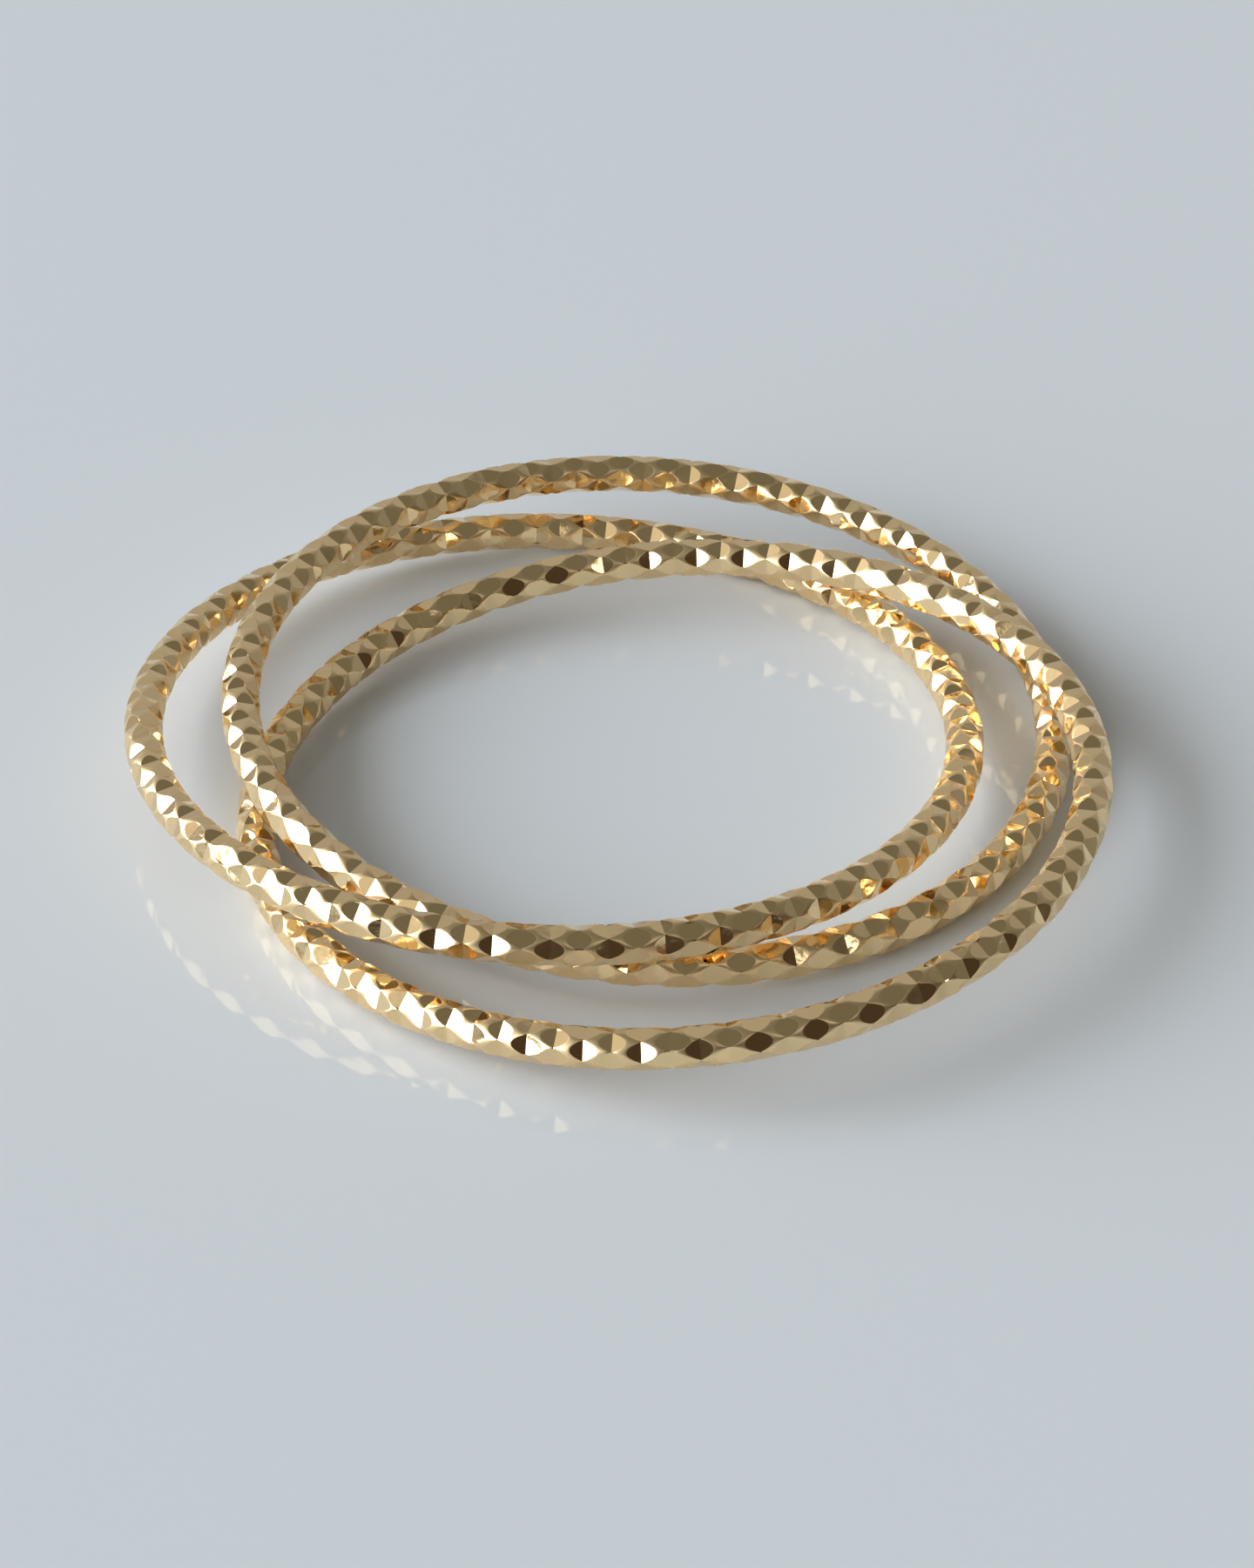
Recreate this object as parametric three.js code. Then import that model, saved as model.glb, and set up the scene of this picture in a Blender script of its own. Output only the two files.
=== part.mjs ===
// A ring of three thin gold bands, each linked through the other two and cut all over with small facets.
// It lies fanned out on a flat surface. Millimetres, +Z up, -Y towards the viewer.
// The origin is on the surface, under the middle of the ring.
import * as THREE from "three";

// Driving dimensions
const FINGER_DIAMETER = 17.2; // inside a band, a ring of 54 mm round the finger
const WIRE_DIAMETER = 0.9; // over the raised points of the wire
const NOTCHES_ROUND_BAND = 50; // shallow notches end to end in one row, the long way round the band
const ROWS_ROUND_WIRE = 12; // rows of notches round the wire, each half a notch on from its neighbours

// How each band lies. right and back place its middle, in millimetres from the origin. lean is its slope
// in degrees, and lifts says which side is the high one, counted in degrees from +X towards +Y.
// turn is how far the notches are turned about the band's own axis, and roll how far their rows are turned
// round the wire, both in degrees.
const BANDS = [
  { name: "front_band", right: 1.3, back: -1.58, lean: 4.4, lifts: 7, turn: 6.6, roll: -2 },
  { name: "left_band", right: -1.28, back: 0.83, lean: 4.35, lifts: 248, turn: 3.8, roll: -11 },
  { name: "back_band", right: 0.79, back: 1.59, lean: 4.45, lifts: 137, turn: 4.4, roll: -15 },
];

const WIRE_RADIUS = WIRE_DIAMETER / 2;
const BAND_RADIUS = FINGER_DIAMETER / 2 + WIRE_RADIUS; // to the middle of the wire
const HALF_NOTCHES = 2 * NOTCHES_ROUND_BAND;
const POINTS_PER_STEP = ROWS_ROUND_WIRE / 2; // every other row has a point at each half notch

const PALE_GOLD = { color: 0xd9bf8c, metalness: 1.0, roughness: 0.18 };

// The raised points stand in a staggered net on a torus round the Z axis: half notch number `along` holds
// the points of the even rows or of the odd rows, in turn.
function raisedPoints(rollAngle) {
  const points = [];
  for (let along = 0; along < HALF_NOTCHES; along++) {
    const roundBand = (along / HALF_NOTCHES) * 2 * Math.PI;
    for (let row = along % 2; row < ROWS_ROUND_WIRE; row += 2) {
      const roundWire = (row / ROWS_ROUND_WIRE) * 2 * Math.PI + rollAngle;
      const reach = BAND_RADIUS + WIRE_RADIUS * Math.cos(roundWire);
      const rise = WIRE_RADIUS * Math.sin(roundWire);
      points.push(reach * Math.cos(roundBand), reach * Math.sin(roundBand), rise);
    }
  }
  return points;
}

// The place of a raised point in the list, for any half notch and row: both run on past a full turn.
function pointNumber(along, row) {
  const step = (along + HALF_NOTCHES) % HALF_NOTCHES;
  const line = (row + ROWS_ROUND_WIRE) % ROWS_ROUND_WIRE;
  return step * POINTS_PER_STEP + Math.floor(line / 2);
}

// Each gap in the net is one notch, a lozenge with a raised point at its four corners. A straight crease
// from its upper to its lower corner lies deeper than the points, between two flat facets.
function notchedBand(rollAngle) {
  const facets = [];
  for (let along = 0; along < HALF_NOTCHES; along++) {
    for (let row = (along + 1) % 2; row < ROWS_ROUND_WIRE; row += 2) {
      const before = pointNumber(along - 1, row);
      const after = pointNumber(along + 1, row);
      const below = pointNumber(along, row - 1);
      const above = pointNumber(along, row + 1);
      facets.push(before, below, above);
      facets.push(after, above, below);
    }
  }
  const band = new THREE.BufferGeometry();
  band.setAttribute("position", new THREE.Float32BufferAttribute(raisedPoints(rollAngle), 3));
  band.setIndex(facets);
  return band;
}

// A band leans on the others: its low side rests on the surface and the far side is lifted. The place
// turns the slope to the side that lifts, so the band is turned back by as much before its own turn.
function layBand({ name, right, back, lean, lifts, turn, roll }) {
  const slopeAngle = THREE.MathUtils.degToRad(lean);
  const rollAngle = THREE.MathUtils.degToRad(roll);
  const band = new THREE.Mesh(notchedBand(rollAngle), new THREE.MeshStandardMaterial(PALE_GOLD));
  band.name = name;
  band.rotation.z = THREE.MathUtils.degToRad(turn - lifts);

  const slope = new THREE.Group();
  slope.rotation.y = -slopeAngle;
  slope.add(band);

  const place = new THREE.Group();
  place.rotation.z = THREE.MathUtils.degToRad(lifts);
  place.position.set(right, back, WIRE_RADIUS + BAND_RADIUS * Math.sin(slopeAngle));
  place.add(slope);
  return place;
}

const ring = new THREE.Group();
ring.name = "multi_band_ring";
for (const row of BANDS) {
  ring.add(layBand(row));
}

export default ring;
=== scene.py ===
import math

import bpy
import numpy as np
from mathutils import Matrix, Vector


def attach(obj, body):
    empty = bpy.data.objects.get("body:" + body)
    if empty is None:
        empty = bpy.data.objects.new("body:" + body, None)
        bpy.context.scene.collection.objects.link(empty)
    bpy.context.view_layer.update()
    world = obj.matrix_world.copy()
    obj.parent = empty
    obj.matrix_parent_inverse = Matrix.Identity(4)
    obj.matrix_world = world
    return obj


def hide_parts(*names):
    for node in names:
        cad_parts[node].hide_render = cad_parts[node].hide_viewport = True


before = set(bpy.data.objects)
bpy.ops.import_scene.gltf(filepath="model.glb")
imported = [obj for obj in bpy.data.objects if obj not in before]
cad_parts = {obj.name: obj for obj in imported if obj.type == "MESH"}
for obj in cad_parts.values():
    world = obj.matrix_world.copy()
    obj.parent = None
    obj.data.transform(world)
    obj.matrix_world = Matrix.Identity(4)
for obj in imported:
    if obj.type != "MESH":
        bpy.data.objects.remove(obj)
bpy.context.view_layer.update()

MM = 0.001

# The camera, at the photograph's angle. It sees from the near limit to the far one.
FRAME_HEIGHT_PX = 1800
FOCAL_LENGTH_PX = 4900
SENSOR_MM = 36.0
CAMERA_ELEVATION = math.radians(35.0)
CAMERA_ROLL = math.radians(0.15)
CAMERA_DISTANCE = 94.33 * MM
LOOKS_AT = Vector((0.31 * MM, 0.04 * MM, 0.0))
NEAR_LIMIT = 1.0 * MM
FAR_LIMIT = 50.0

# The notches of one band
NOTCHES_ROUND_BAND = 50
ROWS_ROUND_WIRE = 12
NOTCH_HALF_WIDTH = math.radians(32.0)  # how far a notch reaches round the wire from its middle
NOTCH_HALF_LENGTH = 0.305 * MM  # from the crease to the rounded end, along the wire
WIRE_SHARE = 0.946  # of the wire's radius over its raised points, for the round wire that is cut
EDGE_WIDTH = 0.04 * MM  # the worn edge between a notch and the round wire
EDGE_SHARE = 0.4  # of a short stretch of round wire, for half of the worn edge at each end of it
RIDGE_WIDTH = 0.024 * MM  # the worn ridge where two notches meet
LEAST_SHARE = 0.02  # of half a notch's pitch, the least length of a facet
LEVELS_PER_ROW = 8  # lines of points along the wire for each row of notches

# How much the notches differ from each other, as standard deviations: how deep the crease lies, how
# steep each facet is as a share of its slope, and how far the notch is turned round the wire
DEPTH_SPREAD = 0.004 * MM
SLOPE_SPREAD = 0.11
TWIST_SPREAD = math.radians(1.7)

# Of each band, the seed of those differences, and the direction from its middle to the raised point that
# its notches are counted from, in degrees from +X towards +Y
BANDS = {
    "front_band": {"seed": 11, "first_point": -144.5},
    "left_band": {"seed": 23, "first_point": 133.5},
    "back_band": {"seed": 37, "first_point": -121.6},
}
SAME_REACH = 0.001 * MM  # points that reach out alike, to within this, are one row
NANOMETRE_DIGITS = 9  # corners that agree to a nanometre are one point

# The gold. Its tint and gloss change slowly over patches of about a millimetre, between two values each,
# and finer ripples lie in the surface.
DEEP_GOLD = (0.91, 0.665, 0.35, 1.0)
PALE_GOLD = (0.97, 0.735, 0.42, 1.0)
POLISHED = (0.04, 0.12)  # the roughness of the cut facets
SATIN = (0.27, 0.35)  # the roughness of the round wire between the notches
PATCHES_PER_METRE = 900.0
PATCH_DETAIL = 3.0
PATCH_RANGE = (0.3, 0.7)  # the part of the noise that the roughness follows
RIPPLES_PER_METRE = 3500.0
RIPPLE_DETAIL = 2.0
RIPPLE_HEIGHT = 0.008 * MM
RIPPLE_STRENGTH = 0.5

# The floor
FLOOR_REACH = 6.0
FLOOR_WHITE = (0.728, 0.748, 0.765, 1.0)
FLOOR_GLOSS_SHARE = 0.045
FLOOR_GLOSS_ROUGHNESS = 0.04

# Directions in the room, as the camera sees it
RIGHT = Vector((1.0, 0.0, 0.0))
BACK = Vector((0.0, 1.0, 0.0))
UP = Vector((0.0, 0.0, 1.0))

# The brightness of the room round the ring. Its dark end is in front, turned a little to the right.
DARK_END_TURN = math.radians(25.0)
DARK_END = Vector((math.sin(DARK_END_TURN), -math.cos(DARK_END_TURN), 0.0))
DARK_FRONT = (0.062, 0.045, 0.032, 1.0)
DIM_SIDE = (0.165, 0.165, 0.145, 1.0)
FAR_SIDE = (0.28, 0.28, 0.27, 1.0)
BRIGHT_BACK = (0.42, 0.42, 0.41, 1.0)
CEILING = (0.170, 0.168, 0.145, 1.0)
BACKDROP = (0.55, 0.59, 0.63, 1.0)  # seen past the floor's edge

# Where the walls have each brightness, from 0 at the dark end to 1 opposite it
WALLS = (
    (0.0, DARK_FRONT),
    (0.15, DARK_FRONT),
    (0.24, DIM_SIDE),
    (0.28, DIM_SIDE),
    (0.5, FAR_SIDE),
    (0.88, BRIGHT_BACK),
    (1.0, BRIGHT_BACK),
)

# The walls give way to the ceiling between these heights, as the rise of a line of sight of length 1.
# They are higher by the lean opposite the dark end, and lower by it at the dark end.
WALLS_END = 0.6
CEILING_STARTS = 0.7
WALL_LEAN = 0.12


def make_camera():
    data = bpy.data.cameras.new("camera")
    data.sensor_width = SENSOR_MM
    data.lens = FOCAL_LENGTH_PX / FRAME_HEIGHT_PX * SENSOR_MM
    data.clip_start = NEAR_LIMIT
    data.clip_end = FAR_LIMIT
    camera = bpy.data.objects.new("camera", data)
    bpy.context.scene.collection.objects.link(camera)
    towards_camera = Vector((0.0, -math.cos(CAMERA_ELEVATION), math.sin(CAMERA_ELEVATION)))
    tip = Matrix.Rotation(math.pi / 2 - CAMERA_ELEVATION, 4, "X")
    roll = Matrix.Rotation(CAMERA_ROLL, 4, "Z")
    place = Matrix.Translation(LOOKS_AT + towards_camera * CAMERA_DISTANCE)
    camera.matrix_world = place @ tip @ roll
    bpy.context.scene.camera = camera


# Where a band lies, read from its CAD node: the middle, the axis, the direction of the first raised point
# and how far it is rolled round the wire, and the radii of the band and of its wire.
def measure_band(node):
    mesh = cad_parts[node].data
    corners = np.zeros(len(mesh.vertices) * 3)
    mesh.vertices.foreach_get("co", corners)
    points = np.unique(corners.reshape(-1, 3).round(NANOMETRE_DIGITS), axis=0)
    middle = points.mean(0)
    axis = np.linalg.svd(points - middle, full_matrices=False)[2][2]
    if axis[2] < 0:
        axis = -axis
    height = (points - middle) @ axis
    across = points - middle - np.outer(height, axis)
    reach = np.linalg.norm(across, axis=1)
    band_radius = (reach.max() + reach.min()) / 2

    angle = math.radians(BANDS[node]["first_point"])
    towards_first = across @ np.array([math.cos(angle), math.sin(angle), 0.0])
    in_outer_row = reach > reach.max() - SAME_REACH
    first = np.where(in_outer_row, towards_first, -band_radius).argmax()
    start = across[first] / reach[first]
    return {
        "middle": middle,
        "axis": axis,
        "start": start,
        "side": np.cross(axis, start),
        "roll": math.atan2(height[first], reach[first] - band_radius),
        "band_radius": band_radius,
        "wire_radius": np.hypot(reach - band_radius, height).mean(),
    }


# Each notch is a V of two flat facets that meet in a straight crease across the wire. Cutting leaves small
# differences in depth, slope and turn.
def cut_notches(seed, wire_radius):
    random = np.random.default_rng(seed)
    shape = (2 * NOTCHES_ROUND_BAND, ROWS_ROUND_WIRE)
    crease = wire_radius * math.cos(NOTCH_HALF_WIDTH)
    slope = (wire_radius - crease) / NOTCH_HALF_LENGTH
    return {
        "crease": crease + random.normal(0, DEPTH_SPREAD, shape),
        "slope_before": slope * (1 + random.normal(0, SLOPE_SPREAD, shape)),
        "slope_after": slope * (1 + random.normal(0, SLOPE_SPREAD, shape)),
        "twist": random.normal(0, TWIST_SPREAD, shape),
    }


# The points of a band's surface, as closed rings round the wire. Five rings stand in each half pitch: at
# the crease of the notch on the left, on both sides of the worn edge where that notch ends, and on both
# sides of the worn edge where the notch on the right begins.
def band_surface(place, seed):
    wire_radius = place["wire_radius"] * WIRE_SHARE
    band_radius = place["band_radius"]
    cuts = cut_notches(seed, wire_radius)
    halves = 2 * NOTCHES_ROUND_BAND
    half_pitch = math.pi / NOTCHES_ROUND_BAND * band_radius
    row_step = 2 * math.pi / ROWS_ROUND_WIRE
    levels = ROWS_ROUND_WIRE * LEVELS_PER_ROW

    # rows holds the row that each point of a ring lies in, or how far it is on the way to the next one.
    half = np.arange(halves)[:, None]
    level = np.arange(levels)[None, :]
    rows = level / LEVELS_PER_ROW + np.zeros_like(half)

    # Notches stand at each half pitch, in the odd rows and the even rows in turn.
    def nearest_notch(number, slope):
        parity = (number + 1) % 2
        row = 2 * np.round((rows - parity) / 2).astype(int) + parity
        notch = (number % halves, row % ROWS_ROUND_WIRE)
        angle = (rows - row) * row_step - cuts["twist"][notch]
        return cuts["crease"][notch], cuts[slope][notch], np.cos(angle)

    left_crease, left_slope, left_cos = nearest_notch(half, "slope_after")
    right_crease, right_slope, right_cos = nearest_notch(half + 1, "slope_before")

    # How far a facet lies from the middle of the wire, at a place along the half pitch
    def left_facet(along):
        return (left_crease + along * left_slope) / left_cos

    def right_facet(along):
        return (right_crease + (half_pitch - along) * right_slope) / right_cos

    # A facet ends where it comes out of the round wire, or where it meets the other notch's facet.
    left_end = (wire_radius * left_cos - left_crease) / left_slope
    right_end = half_pitch - (wire_radius * right_cos - right_crease) / right_slope
    meet = (right_facet(0.0) - left_facet(0.0)) / (left_slope / left_cos + right_slope / right_cos)
    overlap = left_end > right_end
    left_end = np.where(overlap, meet, left_end)
    right_end = np.where(overlap, meet, right_end)
    least = LEAST_SHARE * half_pitch
    left_end = np.clip(left_end, least, half_pitch - least)
    right_end = np.clip(right_end, left_end, half_pitch - least)

    # Where the facets come close, the worn edges narrow to one ridge.
    half_edge = np.minimum(EDGE_WIDTH / 2, (right_end - left_end) * EDGE_SHARE + RIDGE_WIDTH / 2)
    land_middle = (left_end + right_end) / 2
    rings = [
        np.zeros_like(left_end),
        np.maximum(left_end - half_edge, least / 2),
        np.minimum(left_end + half_edge, land_middle),
        np.maximum(right_end - half_edge, land_middle),
        np.minimum(right_end + half_edge, half_pitch - least / 2),
    ]
    along = np.stack(rings, axis=1)
    from_wire_middle = [
        np.minimum(wire_radius, np.minimum(left_facet(ring), right_facet(ring))) for ring in rings
    ]
    reach = np.stack(from_wire_middle, axis=1)
    round_band = (along / half_pitch + half[:, None]) * math.pi / NOTCHES_ROUND_BAND
    round_wire = np.broadcast_to(rows[:, None, :] * row_step + place["roll"], along.shape)

    from_axis = band_radius + reach * np.cos(round_wire)
    points = (
        place["middle"]
        + (from_axis * np.cos(round_band))[..., None] * place["start"]
        + (from_axis * np.sin(round_band))[..., None] * place["side"]
        + (reach * np.sin(round_wire))[..., None] * place["axis"]
    )
    return points.reshape(halves * len(rings), levels, 3), len(rings)


# One band, as a closed skin of four-sided faces. Those beside a crease are the flat facets.
def make_band(node, facet_gold, land_gold):
    points, rings_per_half = band_surface(measure_band(node), BANDS[node]["seed"])
    rings, levels = points.shape[:2]
    number = np.arange(rings * levels).reshape(rings, levels)
    ahead = np.roll(number, -1, axis=0)
    faces = np.stack([number, ahead, np.roll(ahead, -1, axis=1), np.roll(number, -1, axis=1)], axis=-1)
    mesh = bpy.data.meshes.new(node + "_cut")
    mesh.from_pydata(points.reshape(-1, 3).tolist(), [], faces.reshape(-1, 4).tolist())
    ring = np.repeat(np.arange(rings) % rings_per_half, levels)
    flat_facet = (ring == 0) | (ring == rings_per_half - 1)
    mesh.polygons.foreach_set("use_smooth", ~flat_facet)
    mesh.materials.append(facet_gold)
    mesh.materials.append(land_gold)
    mesh.polygons.foreach_set("material_index", np.where(flat_facet, 0, 1).astype(np.int32))
    mesh.update()
    piece = bpy.data.objects.new(node + "_cut", mesh)
    bpy.context.scene.collection.objects.link(piece)
    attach(piece, node)
    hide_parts(node)


def new_material(name):
    material = bpy.data.materials.new(name)
    material.use_nodes = True
    nodes = material.node_tree.nodes
    links = material.node_tree.links
    return material, nodes, links, nodes["Principled BSDF"]


def gold_finish(name, roughness):
    material, nodes, links, shader = new_material(name)
    shader.inputs["Metallic"].default_value = 1.0
    where = nodes.new("ShaderNodeTexCoord")

    patches = nodes.new("ShaderNodeTexNoise")
    patches.inputs["Scale"].default_value = PATCHES_PER_METRE
    patches.inputs["Detail"].default_value = PATCH_DETAIL
    links.new(where.outputs["Object"], patches.inputs["Vector"])

    tint = nodes.new("ShaderNodeMix")
    tint.data_type = "RGBA"
    tint.inputs["A"].default_value = DEEP_GOLD
    tint.inputs["B"].default_value = PALE_GOLD
    links.new(patches.outputs["Fac"], tint.inputs["Factor"])
    links.new(tint.outputs["Result"], shader.inputs["Base Color"])

    gloss = nodes.new("ShaderNodeMapRange")
    gloss.inputs["From Min"].default_value = PATCH_RANGE[0]
    gloss.inputs["From Max"].default_value = PATCH_RANGE[1]
    gloss.inputs["To Min"].default_value = roughness[0]
    gloss.inputs["To Max"].default_value = roughness[1]
    links.new(patches.outputs["Fac"], gloss.inputs["Value"])
    links.new(gloss.outputs["Result"], shader.inputs["Roughness"])

    ripples = nodes.new("ShaderNodeTexNoise")
    ripples.inputs["Scale"].default_value = RIPPLES_PER_METRE
    ripples.inputs["Detail"].default_value = RIPPLE_DETAIL
    links.new(where.outputs["Object"], ripples.inputs["Vector"])
    bump = nodes.new("ShaderNodeBump")
    bump.inputs["Strength"].default_value = RIPPLE_STRENGTH
    bump.inputs["Distance"].default_value = RIPPLE_HEIGHT
    links.new(ripples.outputs["Fac"], bump.inputs["Height"])
    links.new(bump.outputs["Normal"], shader.inputs["Normal"])
    return material


# A matt white sheet under a thin gloss that mirrors the ring faintly, as strongly from every side.
def floor_finish():
    material, nodes, links, shader = new_material("floor_finish")
    sheet = nodes.new("ShaderNodeBsdfDiffuse")
    sheet.inputs["Color"].default_value = FLOOR_WHITE
    gloss = nodes.new("ShaderNodeBsdfGlossy")
    gloss.inputs["Roughness"].default_value = FLOOR_GLOSS_ROUGHNESS
    layers = nodes.new("ShaderNodeMixShader")
    layers.inputs["Fac"].default_value = FLOOR_GLOSS_SHARE
    links.new(sheet.outputs["BSDF"], layers.inputs[1])
    links.new(gloss.outputs["BSDF"], layers.inputs[2])
    links.new(layers.outputs["Shader"], nodes["Material Output"].inputs["Surface"])
    nodes.remove(shader)
    return material


def make_floor():
    corners = [
        (-FLOOR_REACH, -FLOOR_REACH, 0.0),
        (FLOOR_REACH, -FLOOR_REACH, 0.0),
        (FLOOR_REACH, FLOOR_REACH, 0.0),
        (-FLOOR_REACH, FLOOR_REACH, 0.0),
    ]
    mesh = bpy.data.meshes.new("floor")
    mesh.from_pydata(corners, [], [(0, 1, 2, 3)])
    mesh.materials.append(floor_finish())
    floor = bpy.data.objects.new("floor", mesh)
    bpy.context.scene.collection.objects.link(floor)


# An upright rectangular light with the same radiance all over. shines is the level direction that it
# faces, and middle, width and height are in metres.
def make_panel(name, middle, shines, width, height, radiance, color):
    data = bpy.data.lights.new(name, "AREA")
    data.shape = "RECTANGLE"
    data.size = width
    data.size_y = height
    data.energy = radiance * math.pi * width * height
    data.color = color
    panel = bpy.data.objects.new(name, data)
    turn = Matrix((shines.cross(UP), UP, -shines)).transposed().to_4x4()
    panel.matrix_world = Matrix.Translation(middle) @ turn
    panel.visible_camera = False
    bpy.context.scene.collection.objects.link(panel)


def make_lights():
    # The window on the left, and the paler wall above it
    make_panel(
        "window",
        middle=Vector((-1.5, -0.75, 0.75)),
        shines=RIGHT,
        width=3.7,
        height=1.34,
        radiance=5.5,
        color=(0.83, 0.91, 1.0),
    )
    make_panel(
        "window_wall",
        middle=Vector((-1.5, -0.55, 2.05)),
        shines=RIGHT,
        width=4.1,
        height=1.26,
        radiance=0.55,
        color=(1.0, 0.96, 0.88),
    )
    # A lamp high up in front, on the right
    make_panel(
        "lamp",
        middle=Vector((0.62, -1.0, 0.99)),
        shines=BACK,
        width=0.8,
        height=0.14,
        radiance=2.4,
        color=(1.0, 0.97, 0.93),
    )


# The room round the ring: dark low down in front, behind the camera, dim at the sides and under the
# ceiling, and a bright wall at the back.
def make_world():
    world = bpy.data.worlds.new("room")
    world.use_nodes = True
    nodes = world.node_tree.nodes
    links = world.node_tree.links

    def math_node(kind, first, second=None):
        node = nodes.new("ShaderNodeMath")
        node.operation = kind
        links.new(first, node.inputs[0])
        if isinstance(second, float):
            node.inputs[1].default_value = second
        elif second is not None:
            links.new(second, node.inputs[1])
        return node.outputs["Value"]

    where = nodes.new("ShaderNodeTexCoord")
    parts = nodes.new("ShaderNodeSeparateXYZ")
    links.new(where.outputs["Generated"], parts.inputs["Vector"])
    x_squared = math_node("MULTIPLY", parts.outputs["X"], parts.outputs["X"])
    y_squared = math_node("MULTIPLY", parts.outputs["Y"], parts.outputs["Y"])
    level = math_node("SQRT", math_node("ADD", x_squared, y_squared))
    along = nodes.new("ShaderNodeVectorMath")
    along.operation = "DOT_PRODUCT"
    along.inputs[1].default_value = -DARK_END
    links.new(where.outputs["Generated"], along.inputs[0])
    backward = math_node("DIVIDE", along.outputs["Value"], level)  # -1 at the dark end, 1 opposite it
    turned = nodes.new("ShaderNodeMapRange")
    turned.inputs["From Min"].default_value = -1.0
    links.new(backward, turned.inputs["Value"])

    walls = nodes.new("ShaderNodeValToRGB")
    elements = walls.color_ramp.elements
    while len(elements) < len(WALLS):
        elements.new(0.5)
    for element, (position, color) in zip(elements, WALLS):
        element.position = position
        element.color = color
    links.new(turned.outputs["Result"], walls.inputs["Fac"])

    lean = math_node("MULTIPLY", backward, WALL_LEAN)
    height = nodes.new("ShaderNodeMapRange")
    height.interpolation_type = "SMOOTHSTEP"
    height.inputs["From Min"].default_value = WALLS_END
    height.inputs["From Max"].default_value = CEILING_STARTS
    links.new(math_node("SUBTRACT", parts.outputs["Z"], lean), height.inputs["Value"])

    brightness = nodes.new("ShaderNodeMix")
    brightness.data_type = "RGBA"
    brightness.inputs["B"].default_value = CEILING
    links.new(height.outputs["Result"], brightness.inputs["Factor"])
    links.new(walls.outputs["Color"], brightness.inputs["A"])
    room = nodes["Background"]
    links.new(brightness.outputs["Result"], room.inputs["Color"])

    backdrop = nodes.new("ShaderNodeBackground")
    backdrop.inputs["Color"].default_value = BACKDROP
    seen = nodes.new("ShaderNodeLightPath")
    mix = nodes.new("ShaderNodeMixShader")
    links.new(seen.outputs["Is Camera Ray"], mix.inputs["Fac"])
    links.new(room.outputs["Background"], mix.inputs[1])
    links.new(backdrop.outputs["Background"], mix.inputs[2])
    links.new(mix.outputs["Shader"], nodes["World Output"].inputs["Surface"])
    bpy.context.scene.world = world


make_camera()
make_world()
make_lights()
make_floor()
facet_gold = gold_finish("polished_gold", POLISHED)
land_gold = gold_finish("satin_gold", SATIN)
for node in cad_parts:
    make_band(node, facet_gold, land_gold)

view = bpy.context.scene.view_settings
view.view_transform = "Standard"
